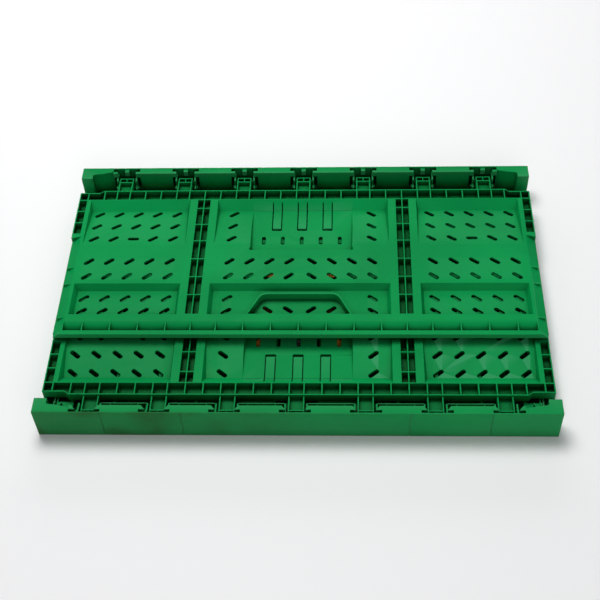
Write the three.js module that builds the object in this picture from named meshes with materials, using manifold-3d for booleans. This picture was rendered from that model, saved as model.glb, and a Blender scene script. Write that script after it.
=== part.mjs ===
// Collapsible ventilated storage crate, folded flat. Millimetres, +Z up, front is -Y.
// Origin: bottom centre of the folded crate.
import * as THREE from 'three';
import { ConvexGeometry } from 'three/addons/geometries/ConvexGeometry.js';
import { mergeVertices } from 'three/addons/utils/BufferGeometryUtils.js';
import Module from 'manifold-3d';

const wasm = await Module();
wasm.setup();

// ---- Driving dimensions (mm) ----
const HALF_X = 300;               // half outer length
const HALF_Y = 200;               // half outer width
const RAIL_TOP = 45.5;            // top of the two long base rails
const RAIL_IN = 189;              // inner face of a rail, |y|
const SKIN = 1.6;                 // outer skin left around the hollows of a rail
const FLOOR_Z0 = 1.5;             // underside of the floor plate
const FLOOR_Z1 = 4;               // top of the floor plate
const SILL_TOP = 14.5;            // top of the two short end sills
const SILL_IN = 284;              // inner face of a sill, |x|
const SHY = 0.3;                  // how far sills and floor ribs stay inside the rails' faces
const BLOCK_IN_X = 285;           // corner block inner face, |x|
const BLOCK_IN_Y = 179.5;         // corner block inner face, |y|
const PITCH = 80;                 // long wall hinge pitch
const HINGES = [-3, -2, -1, 0, 1, 2, 3];
const ARM_HX = 8.6;               // centre of a hinge arm's two ribs, either side of the hinge
const CHEEK_HX = 12.7;            // centre of the two bored cheeks around an arm
const NOTCH_HX = 17.9;            // half width of a hinge notch in a rail
const PIN_R = 2.2;                // hinge pin radius
const BORE_R = 2.8;               // bore radius around a pin
const END_HINGES = [-120, -40, 40, 120];

const WALL_T = 12;                // long wall thickness
const WALL_HX = 298.5;            // long wall half length
const WALL_L = 245;               // long wall height, lower edge to rim
const EDGE_Y = 162;               // |y| of the lower edge while folded
const REAR_Z = 40;                // outer face of the folded rear wall
const FRONT_Z = 27.5;             // outer face of the folded front wall
const REAR_AXIS = [184, 24];      // |y|, z of the rear hinge line
const FRONT_AXIS = [190.25, 17.75];
const REAR_BOX = [179.5, 189];    // |y| of the two-celled box at the end of an arm
const FRONT_BOX = [181.5, 191.5];
const RIB = 1.6;                  // rib thickness
const COLUMN_X = 130.5;           // centre of a ribbed column, |x|

const END_T = 10;                 // end wall thickness
const END_Z = 15;                 // outer face of a folded end wall
const END_EDGE = 282;             // |x| of its lower edge while folded
const END_L = 276.5;              // end wall height
const END_HY = 184;               // end wall half width
const END_AXIS = [291, 6];        // |x|, z of an end wall hinge line

const SLOT_LENGTH = 14;           // vent slots
const SLOT_WIDTH = 3.6;
const SLOT_LEAN = 36;             // degrees from the wall's length

// ---- Materials ----
const green = new THREE.MeshStandardMaterial({ color: 0x0c9450, roughness: 0.45, metalness: 0 });
const orange = new THREE.MeshStandardMaterial({ color: 0xd9842b, roughness: 0.4, metalness: 0 });

// ---- Solid helpers ----
function solid(geometry) {
  let g = geometry.clone();
  g.deleteAttribute('normal');
  g.deleteAttribute('uv');
  g = mergeVertices(g, 1e-5);
  return new wasm.Manifold(new wasm.Mesh({
    numProp: 3,
    vertProperties: new Float32Array(g.attributes.position.array),
    triVerts: new Uint32Array(g.index.array),
  }));
}

function box(x0, x1, y0, y1, z0, z1) {
  const g = new THREE.BoxGeometry(x1 - x0, y1 - y0, z1 - z0);
  g.translate((x0 + x1) / 2, (y0 + y1) / 2, (z0 + z1) / 2);
  return solid(g);
}

function prismZ(points, z0, z1) {
  const shape = new THREE.Shape(points.map((p) => new THREE.Vector2(p[0], p[1])));
  const g = new THREE.ExtrudeGeometry(shape, { depth: z1 - z0, bevelEnabled: false });
  g.translate(0, 0, z0);
  return solid(g);
}

function prismX(points, x0, x1) {
  const shape = new THREE.Shape(points.map((p) => new THREE.Vector2(p[0], p[1])));
  const g = new THREE.ExtrudeGeometry(shape, { depth: x1 - x0, bevelEnabled: false });
  g.translate(0, 0, x0);
  const turn = new THREE.Matrix4().makeBasis(
    new THREE.Vector3(0, 1, 0), new THREE.Vector3(0, 0, 1), new THREE.Vector3(1, 0, 0));
  g.applyMatrix4(turn);
  return solid(g);
}

function hull(points) {
  return solid(new ConvexGeometry(points.map((p) => new THREE.Vector3(...p))));
}

function rodX(y, z, r, x0, x1, sides = 8) {
  const g = new THREE.CylinderGeometry(r, r, x1 - x0, sides);
  g.rotateZ(Math.PI / 2);
  g.translate((x0 + x1) / 2, y, z);
  return solid(g);
}

function joinAll(parts) {
  return wasm.Manifold.union(parts);
}

function turned(body, degrees) {
  return body.rotate([0, 0, degrees]);
}

// Corners of a rectangle about (x, y), its length turned by an angle, anticlockwise.
function leaningBox(x, y, length, width, angle) {
  const [a, b] = [length / 2, width / 2];
  return [[-a, -b], [a, -b], [a, b], [-a, b]].map(([u, v]) => [
    x + u * Math.cos(angle) - v * Math.sin(angle),
    y + u * Math.sin(angle) + v * Math.cos(angle),
  ]);
}

// A pair of coordinates on one side of the middle, in rising order.
function ordered(side, a, b) {
  return [side * a, side * b].sort((p, q) => p - q);
}

function mirrored(values) {
  return values.flatMap((v) => (v === 0 ? [0] : [-v, v])).sort((a, b) => a - b);
}

function toMesh(name, body, material) {
  const m = body.getMesh();
  const g = new THREE.BufferGeometry();
  g.setAttribute('position', new THREE.BufferAttribute(new Float32Array(m.vertProperties), 3));
  g.setIndex(new THREE.BufferAttribute(new Uint32Array(m.triVerts), 1));
  const flat = g.toNonIndexed();
  flat.computeVertexNormals();
  const mesh = new THREE.Mesh(flat, material);
  mesh.name = name;
  return mesh;
}

// ---- Long wall: x along, s up the wall from its lower edge, d below its outer face ----
const sy = (s) => EDGE_Y - s;
const dz = (d) => REAR_Z - d;

function wallBox(x0, x1, s0, s1, d0, d1) {
  return box(x0, x1, sy(s1), sy(s0), dz(d1), dz(d0));
}

function wallPrism(profile, x0, x1) {
  return prismX(profile.map(([s, d]) => [sy(s), dz(d)]), x0, x1);
}

const BAYS = [[-282, -149], [-112, 112], [149, 282]];
const LABEL_HX = 66;               // half width of the label recess
const UP = 1;                      // cutters stand this far proud of a face
const CELL_D = 10;                 // depth of the cells between the ribs
const ROW_S = 16.7;                // top of the cell row along the lower edge
const FIELD_S = [17.5, 97.5];      // tapered field, from the cell row to its flush end
const FIELD_LOW = [30, 9.5];       // s and d of its deepest line
const RECESS_S = [164, 213.5];     // flat-floored recess below the rim
const RECESS_D = 9;
const RIM_S = [222, 238.5];        // ribbed cells of the rim
const COLUMN_HX = 8.2;             // half width of a ribbed column
const STEP_X = 267;                // where the lower corner steps up
const SIDE_X = 287;                // inner rib of the side cells
const SIDE_ROW_S = 5.6;            // lower end of the side cells
const PANEL_D = 2.6;               // skin left over the hollows of the inner face
const KEEPER_X = 293.2;            // centre of the pockets that the latch bolts enter
const SIDE_RIBS = [17.5, 38.3, 58.9, 79];
const COLUMN_RIBS = [17.5, 33.5, 62.7, 91.8, 122.9, 153, 182.2, 213.5];
const RIM_RIBS = mirrored([0, 33.5, 67, 100, 130.5, 161, 194.7, 228.4, 262.3]);

function rowRibs() {
  const list = HINGES.flatMap((k) => [k * PITCH - ARM_HX, k * PITCH + ARM_HX]);
  for (const k of HINGES.slice(0, -1)) {
    list.push(k * PITCH + 29.5, k * PITCH + 50.5);
  }
  list.push(-SIDE_X, -265.5, 265.5, SIDE_X);
  return list.sort((a, b) => a - b);
}

// Tapered upper field of one bay: deep beside the lower rib row, flush at its far end.
function taperedField([xa, xb]) {
  const inset = 7;
  const [s, d] = FIELD_LOW;
  const points = [[xa + inset, sy(s), dz(d)], [xb - inset, sy(s), dz(d)]];
  for (const x of [xa, xb]) {
    for (const lip of FIELD_S) {
      points.push([x, sy(lip), dz(0)], [x, sy(lip), dz(-UP)]);
    }
  }
  return hull(points);
}

// Flat-floored recess just below the rim of one bay.
function rimRecess([xa, xb]) {
  const [s0, s1] = RECESS_S;
  const inset = 4;
  const points = [];
  for (const z of [dz(0), dz(-UP)]) {
    points.push([xa, sy(s0), z], [xb, sy(s0), z], [xa, sy(s1), z], [xb, sy(s1), z]);
  }
  for (const x of [xa + inset, xb - inset]) {
    points.push([x, sy(s0 + 6), dz(RECESS_D)], [x, sy(s1), dz(RECESS_D)]);
  }
  return hull(points);
}

// Clear spans between neighbouring ribs.
function between(ribs) {
  return ribs.slice(1).map((rib, i) => [ribs[i] + RIB / 2, rib - RIB / 2]);
}

// Cells along the lower edge; the last one at each end starts above the stepped corner.
function rowCells() {
  return between(rowRibs()).map(([x0, x1]) => {
    const s0 = Math.abs(x0 + x1) / 2 > STEP_X ? SIDE_ROW_S : RIB;
    return wallBox(x0, x1, s0, ROW_S, -UP, CELL_D);
  });
}

function sideCells() {
  const spans = [[SIDE_ROW_S, ROW_S], ...between(SIDE_RIBS)];
  return [-1, 1].flatMap((side) => {
    const [x0, x1] = ordered(side, SIDE_X + RIB / 2, WALL_HX - RIB);
    return spans.map(([s0, s1]) => wallBox(x0, x1, s0, s1, -UP, CELL_D));
  });
}

function columnCells() {
  return [-COLUMN_X, COLUMN_X].flatMap((c) => between(COLUMN_RIBS).flatMap(([s0, s1]) => [
    wallBox(c - COLUMN_HX, c - RIB / 2, s0, s1, -UP, CELL_D),
    wallBox(c + RIB / 2, c + COLUMN_HX, s0, s1, -UP, CELL_D),
  ]));
}

function rimCells() {
  const [s0, s1] = RIM_S;
  const profile = [[s0, -UP], [s0, 0], [s0 + 4, 1.2], [s1 - 4.5, 8], [s1, 8], [s1, -UP]];
  return between([-286, ...RIM_RIBS, 286]).map(([x0, x1]) => wallPrism(profile, x0, x1));
}

function labelRecess() {
  const [s, d] = FIELD_LOW;
  const lip = FIELD_S[0];
  const profile = [[lip, -UP], [lip, 0], [s, d], [65, d], [102, 7], [109, 0], [109, -UP]];
  return wallPrism(profile, -LABEL_HX, LABEL_HX);
}

function wallPockets() {
  return [
    ...BAYS.flatMap((bay) => [taperedField(bay), rimRecess(bay)]),
    labelRecess(),
    ...rowCells(),
    ...sideCells(),
    ...columnCells(),
    ...rimCells(),
  ];
}

// Slot positions as [x, s, lean sign]; 0 lies along the wall.
function slotPlan() {
  const outer = [166, 192, 217.5, 243.3, 269];
  const plan = [];
  for (const side of [-1, 1]) {
    for (const s of [37, 62, 87, 127.5, 152.3, 181.3, 201.8]) {
      outer.forEach((x, i) => plan.push([side * x, s, s === 87 && i === 2 ? 0 : -side]));
      plan.push([side * 90, s, -side]);
    }
    for (const s of [127.5, 152.3]) {
      for (const x of [14.3, 39.4, 64.6]) {
        plan.push([side * x, s, -side]);
      }
    }
  }
  return plan;
}

function slotCut([x, s, lean]) {
  const turn = (lean * SLOT_LEAN * Math.PI) / 180;
  const outline = leaningBox(x, sy(s), SLOT_LENGTH, SLOT_WIDTH, turn);
  return prismZ(outline, dz(WALL_T + UP), dz(-UP));
}

// Three springy tongues and five upright slots in the label recess.
function labelCuts() {
  const cuts = [];
  for (const x of [-33, 0, 33]) {
    for (const side of [-1, 1]) {
      cuts.push(wallBox(x + side * 6 - 0.7, x + side * 6 + 0.7, 24, 65.5, 2, WALL_T + UP));
    }
    cuts.push(wallBox(x - 6.7, x + 6.7, 63, 65.6, 2, WALL_T + UP));
  }
  for (const x of [-49, -24.5, 0, 24.5, 49]) {
    cuts.push(wallBox(x - 1.9, x + 1.9, 77, 91, 2, WALL_T + UP));
  }
  return cuts;
}

const arch = (inset) => [
  [-65 + inset * 1.15, sy(214 - inset * 0.7)],
  [-47.5 + inset * 0.5, sy(178.6 + inset)],
  [47.5 - inset * 0.5, sy(178.6 + inset)],
  [65 - inset * 1.15, sy(214 - inset * 0.7)],
];

// Hollows on the inner face that leave the panels one skin thick.
function innerHollows() {
  const open = WALL_T + UP;
  const far = [[162, PANEL_D], [167, WALL_T], [167, open]];
  const tapered = [[33, open], [33, WALL_T], [FIELD_S[1], PANEL_D], ...far];
  const behindLabel = [[112, open], [112, PANEL_D], ...far];
  const [left, middle, right] = BAYS.map(([xa, xb]) => [xa + 9, xb - 9]);
  return [
    wallPrism(tapered, ...left),
    wallPrism(tapered, ...right),
    wallPrism(tapered, middle[0], -LABEL_HX - 5),
    wallPrism(tapered, LABEL_HX + 5, middle[1]),
    wallPrism(behindLabel, ...middle),
  ];
}

// Outer silhouette: stepped lower corners, bevelled flanks, undercut rim.
function wallTrim() {
  const wide = WALL_HX + UP;
  const high = WALL_L + UP;
  const cuts = [wallBox(-wide, wide, 239, high, 7, WALL_T + UP)];
  for (const side of [-1, 1]) {
    const step = [[STEP_X, -1], [STEP_X, 0], [STEP_X + 5, 4], [wide, 4], [wide, -1]];
    const corner = step.map(([x, s]) => [side * x, sy(s)]);
    cuts.push(prismZ(side < 0 ? corner.reverse() : corner, dz(WALL_T + UP), dz(-UP)));
    // the flank falls from its inner edge to 8 mm below the face at the wall's end
    const flank = [];
    for (const [s, inner] of [[86, 286], [WALL_L - 9, 286], [high, WALL_HX - 7]]) {
      for (const [x, d] of [[inner, 0], [inner, -UP], [wide, 8], [wide, -UP]]) {
        flank.push([side * x, sy(s), dz(d)]);
      }
    }
    cuts.push(hull(flank));
  }
  return cuts;
}

function flankGussets() {
  const list = [];
  for (const side of [-1, 1]) {
    for (const middle of [137, 164, 218]) {
      const points = [];
      for (const s of [middle - 1, middle + 1]) {
        for (const [x, d] of [[285, 1], [285, 6], [294, 5], [294, 6]]) {
          points.push([side * x, sy(s), dz(d)]);
        }
      }
      list.push(hull(points));
    }
  }
  return list;
}

// Body shared by both long walls, in the rear wall's folded place.
function longWallBody() {
  const plate = wallBox(-WALL_HX, WALL_HX, 0, WALL_L, 0, WALL_T);
  let body = plate.subtract(joinAll([...wallPockets(), ...innerHollows(), ...wallTrim()]));
  body = body.add(prismZ(arch(0), dz(WALL_T), dz(1)));
  body = body.add(joinAll(flankGussets()));
  const through = slotPlan().map(slotCut);
  through.push(prismZ(arch(2.4), dz(WALL_T + UP), dz(-UP)));
  for (const c of [-KEEPER_X, KEEPER_X]) {
    // keeper pockets on the inner face that the latch bolts enter once the crate stands
    through.push(wallBox(c - 2.6, c + 2.6, 191, 205, WALL_T - 3.5, WALL_T + UP));
  }
  return body.subtract(joinAll([...through, ...labelCuts()]));
}

// Hinge arms of a wall folded towards -y: two ribs with a pin each, tied by a web and, from
// near to far, a two-celled box.
function hingeArms([ay, az], zOuter, [near, far]) {
  const zTop = zOuter - 2;
  const zWeb = Math.max(zOuter - WALL_T, az - 3);
  const root = EDGE_Y - 1;
  const outline = [[root, zWeb], [ay - 5.5, zWeb], [ay - 2, az - 3], [ay + 2, az - 3],
    [ay + 3, az - 1], [ay + 3, az + 1], [far, zTop - 1], [near, zTop], [root, zTop]];
  return HINGES.map((k) => k * PITCH).flatMap((x) => {
    const ribs = [-ARM_HX, ARM_HX].map((u) => prismX(outline, x + u - RIB / 2, x + u + RIB / 2));
    const pins = [-1, 1].map((side) => {
      const [u0, u1] = ordered(side, ARM_HX, CHEEK_HX + 2.7);
      return rodX(ay, az, PIN_R, x + u0, x + u1);
    });
    return [
      ...ribs,
      ...pins,
      box(x - ARM_HX, x + ARM_HX, root, near + 1, zWeb + 0.6, zWeb + 2.6),
      box(x - ARM_HX, x + ARM_HX, near, near + RIB, zWeb + 1, zTop),
      box(x - ARM_HX, x + ARM_HX, far - RIB, far, az + 1.5, zTop - 1),
      box(x - RIB / 2, x + RIB / 2, near + 1, far - 1, az + 1, zTop - 1),
    ];
  });
}

function rearLongWall() {
  return longWallBody().add(joinAll(hingeArms(REAR_AXIS, REAR_Z, REAR_BOX)));
}

function frontLongWall() {
  const drop = REAR_Z - FRONT_Z;
  const body = longWallBody().translate([0, 0, -drop]);
  return turned(body.add(joinAll(hingeArms(FRONT_AXIS, FRONT_Z, FRONT_BOX))), 180);
}

// ---- End wall, built at the right (+x) end: outer face up, lower edge at +x ----
const ex = (s) => END_EDGE - s;
const ez = (d) => END_Z - d;

function endBox(s0, s1, y0, y1, d0, d1) {
  return box(ex(s1), ex(s0), y0, y1, ez(d1), ez(d0));
}

const LATCH_S = [208, 250];        // latch window along the wall
const LATCH_HY = 84;               // its half width
const BOLT_S = 229;                // bolt centre line
const BOLT_HS = 6;                 // half width of a bolt
const GRIP_HY = 52;                // half width of the hand opening
const FIELD_D = 8;                 // depth of the panels and cells
const POST_Y = 177;                // inner face of the posts that are cut away at the lower corners
const END_ROWS = [[20, 66], [70, 116], [120, 162], [166, 202]];
const END_SPANS = [[-176, -88], [-82, 82], [88, 176]];

// A row of equal cells with thin ribs between them.
function endCells(s0, s1, yEdge, count) {
  const step = (2 * yEdge + RIB) / count;
  const cells = [];
  for (let i = 0; i < count; i += 1) {
    const y = -yEdge + i * step;
    cells.push(endBox(s0, s1, y, y + step - RIB, -UP, FIELD_D));
  }
  return cells;
}

function endFields() {
  const panels = END_ROWS.flatMap(([s0, s1]) => (
    END_SPANS.map(([y0, y1]) => endBox(s0, s1, y0, y1, -UP, FIELD_D))));
  return [...panels, ...endCells(RIB, 16, 164, 14), ...endCells(257, 270, 178, 9)];
}

function endSlots() {
  const half = SLOT_LENGTH / 2;
  const columns = mirrored([14, 39, 64, 104, 132, 160]);
  return [43, 93, 141].flatMap((s) => (
    columns.map((y) => endBox(s - half, s + half, y - 1.9, y + 1.9, 5, END_T + UP))));
}

function endArms() {
  const [ax, az] = END_AXIS;
  const parts = [];
  for (const y of END_HINGES) {
    parts.push(box(END_EDGE - 2, ax + PIN_R, y - 8, y + 8, az - 1, az + PIN_R));
    parts.push(box(END_EDGE - 2, ax, y - 8, y + 8, az + 2, az + 5));
    const pin = solid(new THREE.CylinderGeometry(PIN_R, PIN_R, 27, 8));
    parts.push(pin.translate([ax, y, az]));
  }
  return parts;
}

function endWall(side) {
  const [s0, s1] = LATCH_S;
  const cuts = [...endFields(), ...endSlots()];
  for (const k of [-1, 1]) {
    const post = ordered(k, POST_Y, END_HY + UP);
    cuts.push(endBox(-UP, 33, ...post, -UP, END_T + UP));
    // guide tunnel for one latch bolt
    const tunnel = ordered(k, 56, END_HY + UP);
    cuts.push(endBox(BOLT_S - BOLT_HS - 0.4, BOLT_S + BOLT_HS + 0.4, ...tunnel, 4.9, 8.6));
  }
  // latch window, with a hand opening through the wall below the grip
  cuts.push(endBox(s0, s1, -LATCH_HY, LATCH_HY, -UP, 5.2));
  cuts.push(endBox(s0 + 3, s1 - 6, -GRIP_HY, GRIP_HY, 5, END_T + UP));
  const plate = endBox(0, END_L, -END_HY, END_HY, 0, END_T).subtract(joinAll(cuts));
  const body = plate.add(joinAll(endArms()));
  return side > 0 ? body : turned(body, 180);
}

// Sliding latch handle: a face plate with two slanted cam slots and a finger grip.
function latchHandle(side) {
  const s0 = LATCH_S[0] + 6.5;
  const s1 = LATCH_S[1] - 1;
  let body = endBox(s0, s1, 1 - LATCH_HY, LATCH_HY - 1, 0.8, 4.6);
  body = body.subtract(endBox(s0 + 5, s1 - 14, -44, 44, -UP, 6));
  body = body.add(endBox(s1 - 14, s1 - 8, 2 - GRIP_HY, GRIP_HY - 2, 4, 9));
  for (const k of [-1, 1]) {
    const slot = leaningBox(ex(BOLT_S), k * 71, 12.4, 5, (k * Math.PI) / 4);
    body = body.subtract(prismZ(slot, ez(6), ez(-1)));
  }
  return side > 0 ? body : turned(body, 180);
}

// Latch bolt: flat bar in the tunnel, with a peg riding in the handle's cam slot.
function latchBolt(side, k) {
  const bar = endBox(BOLT_S - BOLT_HS, BOLT_S + BOLT_HS, ...ordered(k, 63, 191), 5.3, 8.3);
  const peg = new THREE.CylinderGeometry(2, 2, 4.4, 10);
  peg.rotateX(Math.PI / 2);
  peg.translate(ex(BOLT_S - 2.5), k * 73.5, ez(3.4));
  const body = bar.add(solid(peg));
  return side > 0 ? body : turned(body, 180);
}

// ---- Base tray ----
const FRONT_REACH = 5.1;           // how far a cheek stands in front of its pin
const REAR_REACH = 6;

// Two cheeks per hinge, bored for the wall's pins, in the rear rail's place.
function cheeks([ay, az], reach, zLow) {
  const foot = HALF_Y - 1;
  const outline = [[ay - reach, zLow], [foot, zLow], [foot, az + 14], [ay + 4, az + 14],
    [ay - reach, az + 5]];
  const centres = HINGES.flatMap((k) => [k * PITCH - CHEEK_HX, k * PITCH + CHEEK_HX]);
  const plates = joinAll(centres.map((c) => prismX(outline, c - 1.1, c + 1.1)));
  return plates.subtract(joinAll(centres.map((c) => rodX(ay, az, BORE_R, c - 2, c + 2))));
}

// Hollows that open below, between the hinge notches and out to the corner blocks.
function railHollows() {
  const wall = NOTCH_HX + SKIN;
  const spans = HINGES.slice(1).map((k) => [(k - 1) * PITCH + wall, k * PITCH - wall]);
  const last = HINGES.at(-1) * PITCH + wall;
  spans.push([last, BLOCK_IN_X - SKIN], [SKIN - BLOCK_IN_X, -last]);
  return spans.map(([x0, x1]) => box(x0, x1, RAIL_IN + SKIN, HALF_Y - SKIN, -1, RAIL_TOP - 2));
}

// One long rail with its corner blocks and hinge brackets, in the rear rail's place.
function rail(axis, reach, zCheek) {
  const plan = [[-HALF_X, HALF_Y], [-HALF_X, BLOCK_IN_Y], [-BLOCK_IN_X, BLOCK_IN_Y],
    [-BLOCK_IN_X, RAIL_IN], [BLOCK_IN_X, RAIL_IN], [BLOCK_IN_X, BLOCK_IN_Y],
    [HALF_X, BLOCK_IN_Y], [HALF_X, HALF_Y]];
  const zNotch = Math.max(axis[1] - 6.5, 11.2);
  const cuts = railHollows();
  for (const k of HINGES) {
    const x = k * PITCH;
    cuts.push(box(x - NOTCH_HX, x + NOTCH_HX, 170, HALF_Y - SKIN, zNotch, RAIL_TOP + 1));
  }
  for (const side of [-1, 1]) {
    // pocket that keeps clear of a folded latch bolt
    const [p0, p1] = ordered(side, 46, 60);
    cuts.push(box(p0, p1, RAIL_IN - 1, 192.5, 5.5, 11));
  }
  const bar = prismZ(plan, 0, RAIL_TOP).subtract(joinAll(cuts));
  return bar.add(cheeks(axis, reach, zCheek));
}

function sill(sign) {
  const [ax, az] = END_AXIS;
  const outer = HALF_X - SHY;
  let body = box(SILL_IN, outer, -BLOCK_IN_Y - 1, BLOCK_IN_Y + 1, SHY, SILL_TOP);
  for (const y of END_HINGES) {
    body = body.subtract(box(SILL_IN - 1, outer - SKIN, y - 9, y + 9, 2.6, SILL_TOP + 1));
    const bore = solid(new THREE.CylinderGeometry(BORE_R, BORE_R, 28.5, 8));
    body = body.subtract(bore.translate([ax, y, az]));
  }
  return sign > 0 ? body : turned(body, 180);
}

function floorPlate() {
  const xEdge = SILL_IN + 3;
  const yEdge = RAIL_IN + 1;
  const vents = [];
  for (let i = -4; i <= 4; i += 1) {
    for (let j = -2; j <= 2; j += 1) {
      vents.push(box(i * 60 - 20, i * 60 + 20, j * 68 - 5, j * 68 + 5, 0, FLOOR_Z1 + 1));
    }
  }
  const plate = box(-xEdge, xEdge, -yEdge, yEdge, FLOOR_Z0, FLOOR_Z1).subtract(joinAll(vents));
  const zFoot = FLOOR_Z0 + 0.5;
  const across = [-210, -90, 90, 210].map((x) => box(x - 1.5, x + 1.5, -yEdge, yEdge, SHY, zFoot));
  const along = [-102, 102].map((y) => box(-xEdge, xEdge, y - 1.5, y + 1.5, SHY, zFoot));
  return plate.add(joinAll([...across, ...along]));
}

function baseTray() {
  const rear = rail(REAR_AXIS, REAR_REACH, 16);
  const front = turned(rail(FRONT_AXIS, FRONT_REACH, 11), 180);
  return joinAll([rear, front, sill(1), sill(-1), floorPlate()]);
}

// ---- Assembly ----
const crate = new THREE.Group();
crate.name = 'collapsible_crate';
crate.add(toMesh('base_tray', baseTray(), green));
crate.add(toMesh('rear_long_wall', rearLongWall(), green));
crate.add(toMesh('front_long_wall', frontLongWall(), green));
for (const [label, side] of [['left', -1], ['right', 1]]) {
  crate.add(toMesh(`${label}_end_wall`, endWall(side), green));
  crate.add(toMesh(`${label}_latch_handle`, latchHandle(side), orange));
  crate.add(toMesh(`${label}_bolt_front`, latchBolt(side, -side), orange));
  crate.add(toMesh(`${label}_bolt_rear`, latchBolt(side, side), orange));
}
export default crate;
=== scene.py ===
"""Folded ventilated storage crate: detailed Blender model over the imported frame."""
import math

import bmesh
import bpy
from mathutils import Matrix, Vector


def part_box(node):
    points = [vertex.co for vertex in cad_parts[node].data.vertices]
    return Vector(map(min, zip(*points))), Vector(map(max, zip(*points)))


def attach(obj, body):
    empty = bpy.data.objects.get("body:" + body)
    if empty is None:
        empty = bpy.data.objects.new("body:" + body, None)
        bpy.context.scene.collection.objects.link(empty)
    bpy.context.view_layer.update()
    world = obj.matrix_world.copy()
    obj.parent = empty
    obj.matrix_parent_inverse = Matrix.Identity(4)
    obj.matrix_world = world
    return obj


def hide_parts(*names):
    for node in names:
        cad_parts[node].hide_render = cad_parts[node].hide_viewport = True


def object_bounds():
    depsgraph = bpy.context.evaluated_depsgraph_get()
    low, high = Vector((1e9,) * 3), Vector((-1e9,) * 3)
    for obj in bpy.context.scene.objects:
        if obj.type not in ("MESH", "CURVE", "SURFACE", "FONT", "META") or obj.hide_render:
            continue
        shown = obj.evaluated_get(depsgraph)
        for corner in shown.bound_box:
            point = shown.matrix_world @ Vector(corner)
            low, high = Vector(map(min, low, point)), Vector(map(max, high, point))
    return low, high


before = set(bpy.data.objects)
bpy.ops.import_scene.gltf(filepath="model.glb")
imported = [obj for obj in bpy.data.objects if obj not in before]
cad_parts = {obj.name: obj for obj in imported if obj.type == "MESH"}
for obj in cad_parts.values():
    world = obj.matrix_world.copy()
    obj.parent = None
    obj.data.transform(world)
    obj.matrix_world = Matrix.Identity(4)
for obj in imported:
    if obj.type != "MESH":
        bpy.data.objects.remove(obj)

CAD_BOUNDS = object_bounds()
MM = 0.001

# ---- Driving dimensions, in millimetres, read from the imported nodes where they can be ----
TRAY = [[v / MM for v in corner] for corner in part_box("base_tray")]
REAR = [[v / MM for v in corner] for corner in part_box("rear_long_wall")]
HALF_X, HALF_Y, RAIL_TOP = TRAY[1]
WALL_HX = REAR[1][0]              # half length of a long wall
REAR_Z = REAR[1][2]               # outer face of the folded rear wall
WALL_T = 12                       # long wall thickness
WALL_L = 245                      # long wall height, lower edge to rim
EDGE_Y = 162                      # |y| of a folded wall's lower edge
FRONT_Z = REAR_Z - 12.5           # outer face of the folded front wall
REAR_AXIS = (184, 24)             # |y|, z of the rear hinge line
FRONT_AXIS = (190.25, 17.75)
REAR_BOX = (179.5, 189)           # |y| of the two-celled box at the end of a hinge arm
FRONT_BOX = (181.5, 191.5)
ARM_HX = 8.6                      # centre of a hinge arm's two ribs, either side of the hinge
ARM_CLEAR = 13.6                  # how far an arm rises over its hinge line and still clears the rail
PIN_R = 2.2
PIN_END = 15.4                    # outer end of a hinge pin, from the hinge's middle
PITCH = 80
HINGES = range(-3, 4)
RIB = 1.6
RAIL_IN = 189
RAIL_SKIN = 1.8
NOTCH_HX = 17.9                   # half width of a hinge notch in a rail
BLOCK_X = 285                     # inner faces of the corner blocks
BLOCK_Y = 179.5
SILL_IN = 284
SILL_TOP = 14.5
SHY = 1.2                         # how far the sills stay inside the rails' faces
END_HINGES = (-120, -40, 40, 120)
END_AXIS = (291, 6)
COLUMN_X = 130.5
BAYS = ((-282, -149), (-112, 112), (149, 282))
LABEL_HX = 66
UP = 1.5                          # how far cutters stand proud of a face
SLOT_LENGTH, SLOT_WIDTH, SLOT_LEAN = 14.8, 5.6, 38
EDGE_ROUND = 0.35                 # edge rounding of thin walls


# ---- Closed solids, gathered into one mesh at a time ----
class Solids:
    """A set of closed, separate solids in millimetres."""

    def __init__(self):
        self.bm = bmesh.new()

    def hull(self, points):
        verts = [self.bm.verts.new(p) for p in points]
        out = bmesh.ops.convex_hull(self.bm, input=verts)
        spare = [g for g in out["geom_interior"] if isinstance(g, bmesh.types.BMVert)]
        bmesh.ops.delete(self.bm, geom=spare, context="VERTS")
        return self

    def box(self, x0, x1, y0, y1, z0, z1):
        corners = [(x, y, z) for z in (z0, z1) for y in (y0, y1) for x in (x0, x1)]
        v = [self.bm.verts.new(c) for c in corners]
        quads = ((0, 1, 3, 2), (4, 6, 7, 5), (0, 4, 5, 1), (2, 3, 7, 6), (0, 2, 6, 4), (1, 5, 7, 3))
        for q in quads:
            self.bm.faces.new([v[i] for i in q])
        return self

    def prism(self, outline, low, high, axis="z"):
        """outline is (x, y) swept along z, or (y, z) swept along x, or (x, z) swept along y."""
        place = {"z": lambda p, t: (p[0], p[1], t),
                 "x": lambda p, t: (t, p[0], p[1]),
                 "y": lambda p, t: (p[0], t, p[1])}[axis]
        a = [self.bm.verts.new(place(p, low)) for p in outline]
        b = [self.bm.verts.new(place(p, high)) for p in outline]
        self.bm.faces.new(a)
        self.bm.faces.new(list(reversed(b)))
        n = len(outline)
        for i in range(n):
            j = (i + 1) % n
            self.bm.faces.new((a[i], b[i], b[j], a[j]))
        return self

    def rod(self, centre, radius, low, high, axis="x", sides=20):
        ring = [(centre[0] + radius * math.cos(2 * math.pi * i / sides),
                 centre[1] + radius * math.sin(2 * math.pi * i / sides)) for i in range(sides)]
        return self.prism(ring, low, high, axis)

    def to_object(self, name):
        bmesh.ops.recalc_face_normals(self.bm, faces=self.bm.faces)
        mesh = bpy.data.meshes.new(name)
        self.bm.to_mesh(mesh)
        self.bm.free()
        obj = bpy.data.objects.new(name, mesh)
        bpy.context.scene.collection.objects.link(obj)
        return obj


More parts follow.
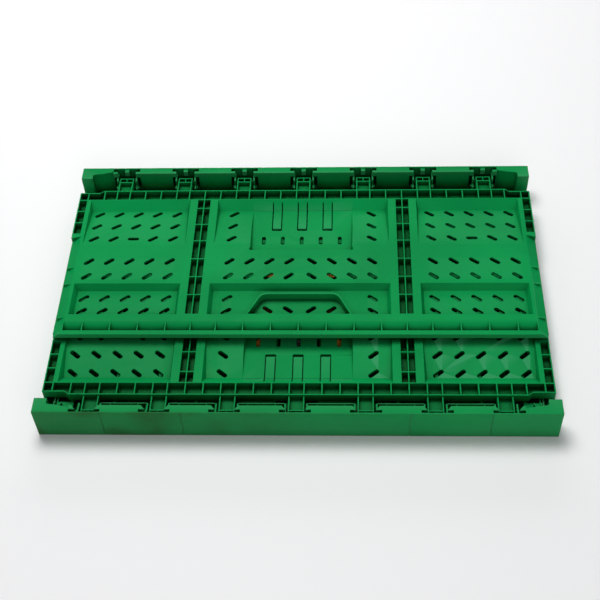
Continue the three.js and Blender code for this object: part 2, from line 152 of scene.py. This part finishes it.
def boolean(obj, solids, operation):
    """Joins or cuts obj with one set of separate solids, and keeps only the result."""
    tool = solids.to_object("tool")
    mod = obj.modifiers.new("cut", "BOOLEAN")
    mod.object = tool
    mod.operation = operation
    mod.solver = "MANIFOLD"
    settle(obj)
    bpy.data.meshes.remove(tool.data)
    return obj


def cut(obj, solids):
    return boolean(obj, solids, "DIFFERENCE")


def join(obj, solids):
    return boolean(obj, solids, "UNION")


def settle(obj):
    """Applies obj's modifiers."""
    graph = bpy.context.evaluated_depsgraph_get()
    mesh = bpy.data.meshes.new_from_object(obj.evaluated_get(graph))
    old = obj.data
    obj.modifiers.clear()
    obj.data = mesh
    bpy.data.meshes.remove(old)


def finish_piece(obj, body, material, replaced, rounding=EDGE_ROUND, turn=False):
    """Rounds the edges, scales to metres, and hangs the piece on its body."""
    if turn:
        obj.data.transform(Matrix.Rotation(math.pi, 4, "Z"))
    bm = bmesh.new()
    bm.from_mesh(obj.data)
    bmesh.ops.remove_doubles(bm, verts=bm.verts, dist=0.02)
    bmesh.ops.dissolve_limit(bm, angle_limit=math.radians(0.6), verts=bm.verts, edges=bm.edges)
    many_sided = [face for face in bm.faces if len(face.verts) > 8]
    bmesh.ops.triangulate(bm, faces=many_sided, ngon_method="BEAUTY")
    bm.to_mesh(obj.data)
    bm.free()
    add_rounding(obj, rounding)
    settle(obj)
    obj.data.transform(Matrix.Scale(MM, 4))
    keep_inside(obj.data)
    obj.data.materials.clear()
    obj.data.materials.append(material)
    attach(obj, body)
    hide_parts(replaced)
    return obj


def keep_inside(mesh):
    """Pulls back the few rounded corners that stand a tenth of a millimetre past the CAD box."""
    low, high = CAD_BOUNDS
    for vertex in mesh.vertices:
        vertex.co = [min(max(v, a), b) for v, a, b in zip(vertex.co, low, high)]


def add_rounding(obj, width):
    mod = obj.modifiers.new("round", "BEVEL")
    mod.width = width
    mod.segments = 2
    mod.limit_method = "ANGLE"
    mod.angle_limit = math.radians(34)
    mod.use_clamp_overlap = False
    mod.loop_slide = False


# ---- Long walls: s runs up the wall from its lower edge, d is depth below its outer face ----
class WallFrame:
    """Places s and d for a wall folded towards -y with its outer face at height z."""

    def __init__(self, z):
        self.z = z

    def y(self, s):
        return EDGE_Y - s

    def h(self, d):
        return self.z - d

    def box(self, solids, x0, x1, s0, s1, d0, d1):
        solids.box(x0, x1, self.y(s1), self.y(s0), self.h(d1), self.h(d0))

    def sweep(self, solids, profile, x0, x1):
        solids.prism([(self.y(s), self.h(d)) for s, d in profile], x0, x1, "x")


def row_ribs():
    """x of the ribs along the lower edge: a pair at each hinge, two between, two at each end."""
    xs = [k * PITCH + side * 8.6 for k in HINGES for side in (-1, 1)]
    xs += [k * PITCH + step for k in list(HINGES)[:-1] for step in (29.5, 50.5)]
    return sorted(xs + [-287, -265.5, 265.5, 287])


SIDE_RIBS = (4.6, 17.5, 38.3, 58.9, 79)
COLUMN_RIBS = (17.5, 33.5, 62.7, 91.8, 122.9, 153, 182.2, 213.5)
RIM_RIBS = sorted(side * x for x in (33.5, 67, 100, 130.5, 161, 194.7, 228.4, 262.3)
                  for side in (-1, 1)) + [0]


def pockets(wf):
    out = Solids()
    for xa, xb in BAYS:
        field = [(x, wf.y(s), wf.h(d)) for x in (xa, xb) for s in (17.5, 97.5) for d in (0, -UP)]
        field += [(xa + 2.5, wf.y(30.5), wf.h(9.5)), (xb - 3.5, wf.y(30.5), wf.h(9.5))]
        out.hull(field)
        recess = [(x, wf.y(s), wf.h(d)) for x in (xa, xb) for s in (164, 213.5) for d in (0, -UP)]
        recess += [(x, wf.y(s), wf.h(9)) for x in (xa + 4, xb - 4) for s in (169.5, 213.5)]
        out.hull(recess)
    for a, b in zip(row_ribs(), row_ribs()[1:]):
        if abs(a + b) / 2 < 267:
            wf.box(out, a + RIB / 2, b - RIB / 2, RIB, 16.7, -UP, 10.4)
        else:
            side = 1 if a > 0 else -1
            corner = ((266.3, RIB), (267.4, RIB), (272.6, 5.6), (286.2, 5.6), (286.2, 16.7),
                      (266.3, 16.7))
            out.prism([(side * x, wf.y(s)) for x, s in corner], wf.h(10.4), wf.h(-UP))
    for side in (-1, 1):
        near, far = sorted((side * (287 + RIB / 2), side * (WALL_HX - 1.4)))
        for a, b in zip(SIDE_RIBS, SIDE_RIBS[1:]):
            wf.box(out, near, far, a + RIB / 2, b - RIB / 2, -UP, 10)
        c = side * COLUMN_X
        for a, b in zip(COLUMN_RIBS, COLUMN_RIBS[1:]):
            wf.box(out, c - 8.2, c - RIB / 2, a + RIB / 2, b - RIB / 2, -UP, 10)
            wf.box(out, c + RIB / 2, c + 8.2, a + RIB / 2, b - RIB / 2, -UP, 10)
    sag = [(222 + 12.5 * t, 8 * t ** 1.8) for t in (0, 0.2, 0.4, 0.6, 0.8, 1)]
    rim = [(222, -UP)] + sag + [(238.5, 8), (238.5, -UP)]
    xs = [-286] + sorted(RIM_RIBS) + [286]
    for a, b in zip(xs, xs[1:]):
        wf.sweep(out, rim, a + RIB / 2, b - RIB / 2)
    return out


def label_recess(wf):
    """Cutters for a flat panel below the tapered field, with soft flanks and a stepped end."""
    rows = ((17.5, 0, 66), (30, 9.5, 65), (65, 9.5, 64.5), (101.5, 8.2, 63), (107.5, 1.6, 64.5),
            (108.3, 0, 66))
    lap = 0.02
    for near, far in zip(rows, rows[1:]):
        points = []
        for (s, d, half), shift in ((near, -lap), (far, lap)):
            for side in (-1, 1):
                points.append((side * half, wf.y(s + shift), wf.h(d)))
                points.append((side * (half + 2.5), wf.y(s + shift), wf.h(-UP)))
        yield Solids().hull(points)
    dashes = Solids()
    for x in (-49, -24.5, 0, 24.5, 49):
        wf.box(dashes, x - 3.4, x + 3.4, 102.4, 104.6, 3, 9.2)
    yield dashes


def inner_hollows(wf, middle):
    """Hollows on the inner face, so that the panels are a skin like a real moulding."""
    out = Solids()
    if middle:
        profile = ((112, WALL_T + UP), (112, 2.6), (162, 2.6), (167, WALL_T), (167, WALL_T + UP))
        wf.sweep(out, profile, -LABEL_HX - 6, LABEL_HX + 6)
        return out
    profile = ((33, WALL_T + UP), (33, WALL_T), (97.5, 2.6), (162, 2.6), (167, WALL_T),
               (167, WALL_T + UP))
    for x0, x1 in ((-273, -158), (-103, -LABEL_HX - 5), (LABEL_HX + 5, 103), (158, 273)):
        wf.sweep(out, profile, x0, x1)
    return out


def undercut(wf):
    out = Solids()
    wf.box(out, -WALL_HX - UP, WALL_HX + UP, 239, WALL_L + UP, 7, WALL_T + UP)
    return out


def flank_cuts(wf):
    """Stepped lower corners and bevelled flanks beyond the side cells."""
    out = Solids()
    wide = WALL_HX + UP
    for side in (-1, 1):
        step = [(267, -UP), (267, 0), (272, 4), (wide, 4), (wide, -UP)]
        out.prism([(side * x, wf.y(s)) for x, s in step], wf.h(WALL_T + UP), wf.h(-UP))
        flank = []
        for s in (84, WALL_L - 9):
            flank += [(side * 286, wf.y(s), wf.h(d)) for d in (0, -UP)]
            flank += [(side * wide, wf.y(s + (3 if s < 90 else 0)), wf.h(d)) for d in (8.5, -UP)]
        flank += [(side * (WALL_HX - 7), wf.y(WALL_L + UP), wf.h(d)) for d in (0, -UP)]
        flank += [(side * wide, wf.y(WALL_L + UP), wf.h(d)) for d in (8.5, -UP)]
        out.hull(flank)
    return out


def arch_outline(wf, inset):
    """Trapezoid hand-hold outline with rounded upper corners."""
    foot, top = 65 - inset * 1.15, 47.5 - inset * 0.5
    s_top, s_foot = 178.6 + inset, 214 - inset * 0.7
    pts = [(-foot, s_foot)]
    for side in (-1, 1):
        corner = []
        for i in range(7):
            t = i / 6
            a = (side * (top + (foot - top) * 0.22), s_top + (s_foot - s_top) * 0.22)
            b = (side * top, s_top)
            c = (side * (top - 8), s_top)
            x = (1 - t) ** 2 * a[0] + 2 * t * (1 - t) * b[0] + t * t * c[0]
            s = (1 - t) ** 2 * a[1] + 2 * t * (1 - t) * b[1] + t * t * c[1]
            corner.append((x, s))
        pts += corner if side < 0 else corner[::-1]
    pts.append((foot, s_foot))
    return [(x, wf.y(s)) for x, s in pts]


def raised_details(wf):
    out = Solids()
    out.prism(arch_outline(wf, 0), wf.h(WALL_T), wf.h(0.8))
    for side in (-1, 1):
        for s in (137, 164, 218):
            out.hull([(side * x, wf.y(s + w), wf.h(d)) for w in (-1, 1)
                      for x, d in ((284.5, 0.25), (284.5, 8), (295.5, 1.2), (297.4, 9))])
    return out


def stadium(x, y, length, width, degrees, ends=8):
    """Outline of a round-ended slot."""
    r, a = width / 2, math.radians(degrees)
    pts = []
    for end in (1, -1):
        for i in range(ends + 1):
            t = -math.pi / 2 + math.pi * i / ends
            u = end * (length / 2 - r + r * math.cos(t))
            v = end * r * math.sin(t)
            pts.append((x + u * math.cos(a) - v * math.sin(a), y + u * math.sin(a) + v * math.cos(a)))
    return pts


def slot_plan():
    """Vent slots as (x, s, lean)."""
    outer = (166, 192, 217.5, 243.3, 269)
    plan = []
    for side in (-1, 1):
        for s in (37, 62, 87, 127.5, 152.3, 181.3, 201.8):
            for i, x in enumerate(outer):
                lean = 0 if (s == 87 and i == 2) else -side * SLOT_LEAN
                plan.append((side * x, s, lean))
            plan.append((side * 90, s, -side * SLOT_LEAN))
        plan += [(side * x, s, -side * SLOT_LEAN) for s in (127.5, 152.3) for x in (14.3, 39.4, 64.6)]
    return plan


def through_cuts(wf):
    out = Solids()
    low, high = wf.h(WALL_T + UP), wf.h(-UP)
    for x, s, lean in slot_plan():
        out.prism(stadium(x, wf.y(s), SLOT_LENGTH, SLOT_WIDTH, lean), low, high)
    for x in (-49, -24.5, 0, 24.5, 49):
        out.prism(stadium(x, wf.y(84), 14, 5, 90), low, wf.h(1))
    for x in (-33, 0, 33):
        u_cut = ((-6.6, 21), (-6.6, 64.6), (-5.6, 66), (5.6, 66), (6.6, 64.6), (6.6, 21),
                 (5.3, 21), (5.3, 62.2), (-5.3, 62.2), (-5.3, 21))
        out.prism([(x + u, wf.y(s)) for u, s in u_cut], low, wf.h(2))
    out.prism(arch_outline(wf, 2.4), low, high)
    for side in (-1, 1):
        c = side * 293.2
        out.box(c - 2.6, c + 2.6, wf.y(205), wf.y(191), low, wf.h(WALL_T - 3.5))
    return out


def arm_sets(axis, z_outer, span):
    """Hinge arms, as sets whose solids don't cross each other; span is |y| of the end box."""
    ay, az = axis
    near, far = span
    top = min(z_outer - 2, az + ARM_CLEAR)
    web = max(z_outer - WALL_T, az - 3)
    ribs, bars, spine, pins = Solids(), Solids(), Solids(), Solids()
    curl = [(ay + 3 * math.sin(t), az - 3 * math.cos(t)) for t in
            [math.radians(v) for v in range(0, 110, 18)]]
    side_view = [(EDGE_Y - 1, web), (ay - 5.5, web)] + curl
    side_view += [(far, top - 1), (near, top), (EDGE_Y - 1, top)]
    for k in HINGES:
        x = k * PITCH
        for side in (-1, 1):
            c = x + side * ARM_HX
            ribs.prism(side_view, c - RIB / 2, c + RIB / 2, "x")
            a, b = sorted((c, x + side * PIN_END))
            pins.rod((ay, az), PIN_R, a, b)
        bars.box(x - ARM_HX, x + ARM_HX, near, near + RIB, web + 1, top)
        bars.box(x - ARM_HX, x + ARM_HX, far - RIB, far, az + 1.5, top - 1)
        bars.box(x - ARM_HX, x + ARM_HX, EDGE_Y - 1, near - 0.01, web + 0.6, web + 2.8)
        spine.box(x - 0.7, x + 0.7, near + 0.5, far - 0.5, az + 1, top - 1)
    return ribs, bars, spine, pins


def long_wall(name, z_outer, axis, span, body, turn, material):
    wf = WallFrame(z_outer)
    plate = Solids()
    wf.box(plate, -WALL_HX, WALL_HX, 0, WALL_L, 0, WALL_T)
    wall = plate.to_object(name + "_moulding")
    for cutter in (pockets(wf), *label_recess(wf), inner_hollows(wf, False),
                   inner_hollows(wf, True), undercut(wf), flank_cuts(wf)):
        cut(wall, cutter)
    join(wall, raised_details(wf))
    cut(wall, through_cuts(wf))
    for part in arm_sets(axis, z_outer, span):
        join(wall, part)
    return finish_piece(wall, body, material, name, turn=turn)


# ---- Base tray ----
def rail_plan():
    """Outline of a rail with its corner blocks, its inner edge narrowing at the last hinges."""
    half = [(257.5, 192.6), (271, 189.1), (BLOCK_X - 3, 187.8), (BLOCK_X, 186.6),
            (BLOCK_X, BLOCK_Y), (HALF_X, BLOCK_Y), (HALF_X, HALF_Y)]
    inner = [(257.4, RAIL_IN)]
    return [(-x, y) for x, y in reversed(half)] + [(-x, y) for x, y in inner] + inner + half


def rail_body(axis):
    """One long rail with its corner blocks, in the rear rail's place."""
    rail = Solids().prism(rail_plan(), 0, RAIL_TOP).to_object("rail")
    hollows, notches = Solids(), Solids()
    wall = NOTCH_HX + 5.3
    spans = [(k * PITCH + wall, (k + 1) * PITCH - wall) for k in list(HINGES)[:-1]]
    for a, b in spans:
        hollows.box(a, b, RAIL_IN + 2, HALF_Y - RAIL_SKIN, -UP, RAIL_TOP - 2.2)
    low = max(axis[1] - 6.5, 11.2)
    for k in HINGES:
        x = k * PITCH
        notches.box(x - NOTCH_HX, x + NOTCH_HX, 170, HALF_Y - RAIL_SKIN, low, RAIL_TOP + UP)
    cut(rail, hollows)
    return cut(rail, notches)


def cheek_outline(axis, reach, low):
    ay, az = axis
    foot = HALF_Y - 1
    if axis is REAR_AXIS:
        return [(ay - reach, low), (foot, low), (foot, az + 14), (ay + 4, az + 14),
                (ay, az + 12.4), (ay - 0.6, az + 4.6), (ay - reach, az + 3.6)]
    return [(172, 16), (ay - reach, 16), (ay - reach, low), (foot, low), (foot, az + 14),
            (ay + 2, az + 14), (ay - 8, az + 8), (172, az + 7)]


def brackets(axis, reach, low):
    """Two bored cheeks per hinge."""
    centres = [k * PITCH + side * 12.7 for k in HINGES for side in (-1, 1)]
    cheeks, bores = Solids(), Solids()
    for c in centres:
        cheeks.prism(cheek_outline(axis, reach, low), c - 1.1, c + 1.1, "x")
        bores.rod(axis, 2.6, c - 2, c + 2, sides=24)
    return cut(cheeks.to_object("cheeks"), bores)


def rear_hooks():
    """Plan corners and flanges around each rear hinge."""
    out = Solids()
    for x in [k * PITCH for k in HINGES]:
        for side in (-1, 1):
            a, b = sorted((x + side * 12.3, x + side * (NOTCH_HX + 0.6)))
            out.box(a, b, RAIL_IN, 193, REAR_AXIS[1] + 14.2, RAIL_TOP)
            a, b = sorted((x + side * 10, x + side * 11.9))
            out.box(a, b, 184.6, 186, REAR_AXIS[1] + 4.8, REAR_AXIS[1] + 10.6)
        out.box(x - 3, x + 3, 193.4, HALF_Y - 1, 36.6, RAIL_TOP - 1.4)
    return out


def front_hooks():
    """Slanted rail ends and ledge ribs between the hinges."""
    out = Solids()
    ledge_low, ledge_top = 16, 25
    for x in [k * PITCH for k in HINGES]:
        for side in (-1, 1):
            end = ((x + side * (NOTCH_HX + 0.6), RAIL_IN), (x + side * 15.4, RAIL_IN),
                   (x + side * 11, 194.8), (x + side * (NOTCH_HX + 0.6), 194.8))
            out.prism(end, 33, RAIL_TOP)
    for x in [k * PITCH for k in list(HINGES)[:-1]]:
        out.box(x + 13.4, x + PITCH - 13.4, 171.6, 172.9, ledge_low, ledge_top)
    return out


def front_ticks():
    out = Solids()
    for x in [k * PITCH for k in list(HINGES)[:-1]]:
        for at in (24, PITCH - 24):
            out.box(x + at - 0.6, x + at + 0.6, 172.2, RAIL_IN + 0.6, 16, 24)
    for side in (-1, 1):
        a, b = sorted((side * 276.4, side * 277.8))
        out.box(a, b, 181.5, 190, 26, 41)
        slant = ((side * 269.4, 180.6), (side * 268.4, 181.5), (side * 272.4, 189.6),
                 (side * 273.6, 189.2))
        out.prism(slant, 26, 40)
    return out


def merge(target, other):
    """Joins another object into target and removes it."""
    mod = target.modifiers.new("merge", "BOOLEAN")
    mod.object = other
    mod.operation = "UNION"
    mod.solver = "MANIFOLD"
    settle(target)
    bpy.data.meshes.remove(other.data)


def sill_body():
    ax, az = END_AXIS
    obj = Solids().box(SILL_IN, HALF_X - SHY, -BLOCK_Y - 1, BLOCK_Y + 1, SHY, SILL_TOP)
    obj = obj.to_object("sill")
    cuts, bores = Solids(), Solids()
    for y in END_HINGES:
        cuts.box(SILL_IN - UP, HALF_X - SHY - RAIL_SKIN, y - 9, y + 9, 2.6, SILL_TOP + UP)
        bores.rod((ax, az), 2.7, y - 14.2, y + 14.2, "y", 24)
    for y in (-160, -80, 0, 80, 160):
        half = 22 if abs(y) < 150 else 14
        cuts.box(SILL_IN + 2, HALF_X - 2, y - half, y + half, 5.5, SILL_TOP + UP)
    cut(obj, cuts)
    return cut(obj, bores)


def floor_body():
    y_edge = RAIL_IN + 1
    obj = Solids().box(-SILL_IN - 3, SILL_IN + 3, -y_edge, y_edge, 2, 4).to_object("floor_plate")
    vents = Solids()
    for i in range(-4, 5):
        for j in range(-2, 3):
            vents.prism(stadium(i * 60, j * 68, 40, 10, 0), 0, 6)
    cut(obj, vents)
    for xs in (True, False):
        ribs = Solids()
        if xs:
            for x in (-210, -90, 90, 210):
                ribs.box(x - 1.5, x + 1.5, -y_edge, y_edge, 0.9, 3)
        else:
            for y in (-102, 102):
                ribs.box(-SILL_IN - 3, SILL_IN + 3, y - 1.5, y + 1.5, 0.9, 3)
        join(obj, ribs)
    return obj


def seams():
    """Shallow vertical mould lines on the outer face of a rail."""
    out = Solids()
    for side in (-1, 1):
        for x in (130, 222):
            c = side * x
            out.box(c - 0.5, c + 0.5, HALF_Y - 0.4, HALF_Y + UP, -UP, RAIL_TOP - 1.2)
    return out


def bolt_reliefs():
    """Sockets in a rail's inner face for the ends of the latch bolts."""
    out = Solids()
    for side in (-1, 1):
        a, b = sorted((side * 46, side * 60))
        out.box(a, b, RAIL_IN - UP, 192.5, 5.5, 11)
    return out


def base_tray(material):
    tray = rail_body(REAR_AXIS)
    merge(tray, brackets(REAR_AXIS, 6, 16))
    join(tray, rear_hooks())
    cut(tray, seams())
    front = rail_body(FRONT_AXIS)
    merge(front, brackets(FRONT_AXIS, 5.1, 11))
    join(front, front_hooks())
    join(front, front_ticks())
    cut(front, seams())
    cut(front, bolt_reliefs())
    cut(tray, bolt_reliefs())
    front.data.transform(Matrix.Rotation(math.pi, 4, "Z"))
    right = sill_body()
    left = sill_body()
    left.data.transform(Matrix.Rotation(math.pi, 4, "Z"))
    for part in (floor_body(), front, right, left):
        merge(tray, part)
    tray.name = "base_moulding"
    return finish_piece(tray, "base", material, "base_tray", rounding=0.5)


# ---- Materials ----
def new_material(name):
    mat = bpy.data.materials.new(name)
    mat.use_nodes = True
    nodes = mat.node_tree.nodes
    return mat, nodes, mat.node_tree.links, nodes["Principled BSDF"]


def ramp(nodes, stops):
    node = nodes.new("ShaderNodeValToRGB")
    elements = node.color_ramp.elements
    while len(elements) < len(stops):
        elements.new(0.5)
    for element, (at, value) in zip(elements, stops):
        element.position = at
        element.color = value if len(value) == 4 else (*value, 1)
    return node


def noise(nodes, links, coords, scale, detail=4, stretch=None, distortion=0.0):
    node = nodes.new("ShaderNodeTexNoise")
    node.inputs["Scale"].default_value = scale
    node.inputs["Detail"].default_value = detail
    node.inputs["Distortion"].default_value = distortion
    source = coords.outputs["Object"]
    if stretch:
        mapping = nodes.new("ShaderNodeMapping")
        mapping.inputs["Scale"].default_value = stretch
        links.new(source, mapping.inputs["Vector"])
        source = mapping.outputs["Vector"]
    links.new(source, node.inputs["Vector"])
    return node


def mix(nodes, links, factor, a, b, blend="MIX"):
    node = nodes.new("ShaderNodeMix")
    node.data_type = "RGBA"
    node.blend_type = blend
    plug(links, factor, node.inputs[0])
    plug(links, a, node.inputs[6])
    plug(links, b, node.inputs[7])
    return node.outputs[2]


def plug(links, value, socket):
    if isinstance(value, bpy.types.NodeSocket):
        links.new(value, socket)
    elif isinstance(value, (int, float)):
        socket.default_value = value
    else:
        socket.default_value = (*value, 1) if len(value) == 3 else value


def scaled(nodes, links, value, factor):
    node = nodes.new("ShaderNodeMath")
    node.operation = "MULTIPLY"
    links.new(value, node.inputs[0])
    node.inputs[1].default_value = factor
    return node.outputs["Value"]


def cavity(nodes, distance):
    """Mask for painted shade: 0 well inside a cell or slot, 1 on open faces."""
    node = nodes.new("ShaderNodeAmbientOcclusion")
    node.samples = 6
    node.inputs["Distance"].default_value = distance
    return node.outputs["AO"]


def front_face_shade(nodes, links, coords, base):
    """Painted shade on the front face of the tray, olive and stronger toward its left end, in cloudy
    patches.
    """
    place = nodes.new("ShaderNodeSeparateXYZ")
    links.new(coords.outputs["Object"], place.inputs["Vector"])
    front = ramp(nodes, [(0.45, (1, 1, 1)), (0.55, (0, 0, 0))])
    links.new(spread(nodes, links, place.outputs["Y"], -0.204, -0.192), front.inputs["Fac"])
    left = ramp(nodes, [(0.0, (1, 1, 1)), (0.22, (0.8, 0.8, 0.8)), (0.55, (0.12, 0.12, 0.12))])
    links.new(spread(nodes, links, place.outputs["X"], -0.3, 0.3), left.inputs["Fac"])
    cloud = noise(nodes, links, coords, 16, 5, distortion=0.8)
    patch = ramp(nodes, [(0.4, (0.5, 0.5, 0.5)), (0.6, (1, 1, 1))])
    links.new(cloud.outputs["Fac"], patch.inputs["Fac"])
    amount = product(nodes, links, front.outputs["Color"], left.outputs["Color"])
    amount = product(nodes, links, amount, patch.outputs["Color"])
    # The olive colour is the painted shade laid over the front face.
    return mix(nodes, links, scaled(nodes, links, amount, 0.85), base, (0.021, 0.085, 0.019))


def spread(nodes, links, value, low, high):
    """Maps low..high onto 0..1."""
    node = nodes.new("ShaderNodeMapRange")
    node.inputs["From Min"].default_value = low
    node.inputs["From Max"].default_value = high
    links.new(value, node.inputs["Value"])
    return node.outputs["Result"]


def product(nodes, links, first, second):
    node = nodes.new("ShaderNodeMath")
    node.operation = "MULTIPLY"
    links.new(first, node.inputs[0])
    links.new(second, node.inputs[1])
    return node.outputs["Value"]


def moulded_plastic(name, colour, cavity_shade, wear_and_highlight, scuff=0.12, rough=0.5, front_shade=False):
    """Moulded polypropylene: faint flow variation, fine grain, painted shade in cavities and paler
    edges, which are painted highlight and partly wear.
    """
    mat, nodes, links, shader = new_material(name)
    coords = nodes.new("ShaderNodeTexCoord")
    flow = noise(nodes, links, coords, 7, 3, distortion=0.5)
    flow_ramp = ramp(nodes, [(0.35, [c * 0.88 for c in colour]), (0.65, [c * 1.07 for c in colour])])
    links.new(flow.outputs["Fac"], flow_ramp.inputs["Fac"])
    # Painted shade: an ambient-occlusion mask darkens cells, slots and recesses toward the cavity
    # shade colour.
    open_face = ramp(nodes, [(0.18, (0, 0, 0)), (0.82, (1, 1, 1))])
    links.new(cavity(nodes, 0.016), open_face.inputs["Fac"])
    base = mix(nodes, links, open_face.outputs["Color"], cavity_shade, flow_ramp.outputs["Color"])
    # Painted highlight, partly wear: pointy edges and rib tops are lightened toward the pale colour;
    # the scuff streaks below are real wear in the same colour.
    geometry = nodes.new("ShaderNodeNewGeometry")
    edge = ramp(nodes, [(0.52, (0, 0, 0)), (0.60, (1, 1, 1))])
    links.new(geometry.outputs["Pointiness"], edge.inputs["Fac"])
    base = mix(nodes, links, scaled(nodes, links, edge.outputs["Color"], 0.75), base, wear_and_highlight)
    streak = noise(nodes, links, coords, 24, 6, stretch=(0.4, 1.0, 2.2), distortion=1.2)
    streak_ramp = ramp(nodes, [(0.56, (0, 0, 0)), (0.72, (1, 1, 1))])
    links.new(streak.outputs["Fac"], streak_ramp.inputs["Fac"])
    marks = scaled(nodes, links, streak_ramp.outputs["Color"], scuff)
    base = mix(nodes, links, marks, base, wear_and_highlight)
    # Painted shade on the tray's front face.
    if front_shade:
        base = front_face_shade(nodes, links, coords, base)
    links.new(base, shader.inputs["Base Color"])
    rough_ramp = ramp(nodes, [(0.3, (rough - 0.06,) * 3), (0.7, (rough + 0.08,) * 3)])
    links.new(streak.outputs["Fac"], rough_ramp.inputs["Fac"])
    links.new(rough_ramp.outputs["Color"], shader.inputs["Roughness"])
    grain = noise(nodes, links, coords, 1400, 2)
    bump = nodes.new("ShaderNodeBump")
    bump.inputs["Strength"].default_value = 0.06
    bump.inputs["Distance"].default_value = 0.0003
    links.new(grain.outputs["Fac"], bump.inputs["Height"])
    wave = noise(nodes, links, coords, 30, 2)
    swell = nodes.new("ShaderNodeBump")
    swell.inputs["Strength"].default_value = 0.1
    swell.inputs["Distance"].default_value = 0.001
    links.new(wave.outputs["Fac"], swell.inputs["Height"])
    links.new(bump.outputs["Normal"], swell.inputs["Normal"])
    links.new(swell.outputs["Normal"], shader.inputs["Normal"])
    shader.inputs["Specular IOR Level"].default_value = 0.05
    return mat


def carry_over(node, material):
    """A CAD node that keeps its shape gets rounded edges and a full material."""
    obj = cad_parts[node]
    obj.data.materials.clear()
    obj.data.materials.append(material)
    weld = obj.modifiers.new("weld", "WELD")
    weld.merge_threshold = 0.00002
    flat = obj.modifiers.new("flat", "DECIMATE")
    flat.decimate_type = "DISSOLVE"
    flat.angle_limit = math.radians(0.6)
    tidy = obj.modifiers.new("tidy", "TRIANGULATE")
    tidy.min_vertices = 9
    add_rounding(obj, 0.0004)


# ---- Camera, lights, floor ----
def add_camera():
    """A long lens, about 50 degrees above the horizon."""
    data = bpy.data.cameras.new("view")
    data.sensor_width = 36
    data.lens = 67.27
    cam = bpy.data.objects.new("view", data)
    turn = Matrix.Rotation(math.radians(3.905), 4, "Z")
    tilt = Matrix.Rotation(math.radians(90 - 50.053), 4, "X")
    roll = Matrix.Rotation(math.radians(-3.051), 4, "Z")
    cam.matrix_world = Matrix.Translation((0.0610, -0.90815, 1.09162)) @ turn @ tilt @ roll
    bpy.context.scene.collection.objects.link(cam)
    bpy.context.scene.camera = cam


def add_area(name, at, aim, size, power, colour=(1, 1, 1)):
    data = bpy.data.lights.new(name, "AREA")
    data.shape = "RECTANGLE"
    data.size, data.size_y = size
    data.energy = power
    data.color = colour
    lamp = bpy.data.objects.new(name, data)
    lamp.location = at
    lamp.rotation_euler = (Vector(aim) - Vector(at)).to_track_quat("-Z", "Y").to_euler()
    bpy.context.scene.collection.objects.link(lamp)


def add_studio():
    add_area("overhead", (-0.35, 0.6, 2.1), (0, 0, 0), (1.1, 0.9), 34)
    add_area("back_glow", (0.0, 2.2, 1.0), (0, 0, 0.05), (2.2, 0.8), 12)
    add_area("front_fill", (0.4, -2.2, 1.2), (0, 0, 0), (1.6, 1.2), 12)
    world = bpy.data.worlds.new("studio")
    world.use_nodes = True
    back = world.node_tree.nodes["Background"]
    back.inputs["Color"].default_value = (0.95, 0.97, 1, 1)
    back.inputs["Strength"].default_value = 0.2
    bpy.context.scene.world = world
    bpy.context.scene.view_settings.view_transform = "Standard"


def add_floor():
    mesh = bpy.data.meshes.new("floor")
    size = 6
    mesh.from_pydata([(-size, -size, 0), (size, -size, 0), (size, size, 0), (-size, size, 0)], [],
                     [(0, 1, 2, 3)])
    floor = bpy.data.objects.new("floor", mesh)
    floor.location.z = -0.0002
    bpy.context.scene.collection.objects.link(floor)
    mat, _, _, shader = new_material("pale_floor")
    shader.inputs["Base Color"].default_value = (0.97, 0.97, 0.97, 1)
    shader.inputs["Roughness"].default_value = 0.9
    shader.inputs["Specular IOR Level"].default_value = 0.1
    mesh.materials.append(mat)


def main():
    # In each material the second colour is painted shade for cavities, and the third is the pale
    # colour of painted edge highlights, wear and scuffs; the tray also gets painted shade on its
    # front face.
    green = moulded_plastic("green_moulding", (0.0012, 0.285, 0.068), (0.0005, 0.035, 0.003),
                            (0.045, 0.36, 0.14), scuff=0.05)
    tray_green = moulded_plastic("green_tray", (0.0015, 0.265, 0.062), (0.0005, 0.04, 0.004),
                                 (0.05, 0.3, 0.12), scuff=0.1, front_shade=True)
    orange = moulded_plastic("orange_latch", (0.72, 0.27, 0.03), (0.55, 0.2, 0.03),
                             (0.85, 0.5, 0.2))
    add_camera()
    add_studio()
    add_floor()
    long_wall("rear_long_wall", REAR_Z, REAR_AXIS, REAR_BOX, "rear_wall", False, green)
    long_wall("front_long_wall", FRONT_Z, FRONT_AXIS, FRONT_BOX, "base", True, green)
    base_tray(tray_green)
    for side in ("left", "right"):
        carry_over(side + "_end_wall", green)
        carry_over(side + "_latch_handle", orange)
        carry_over(side + "_bolt_front", orange)
        carry_over(side + "_bolt_rear", orange)


main()
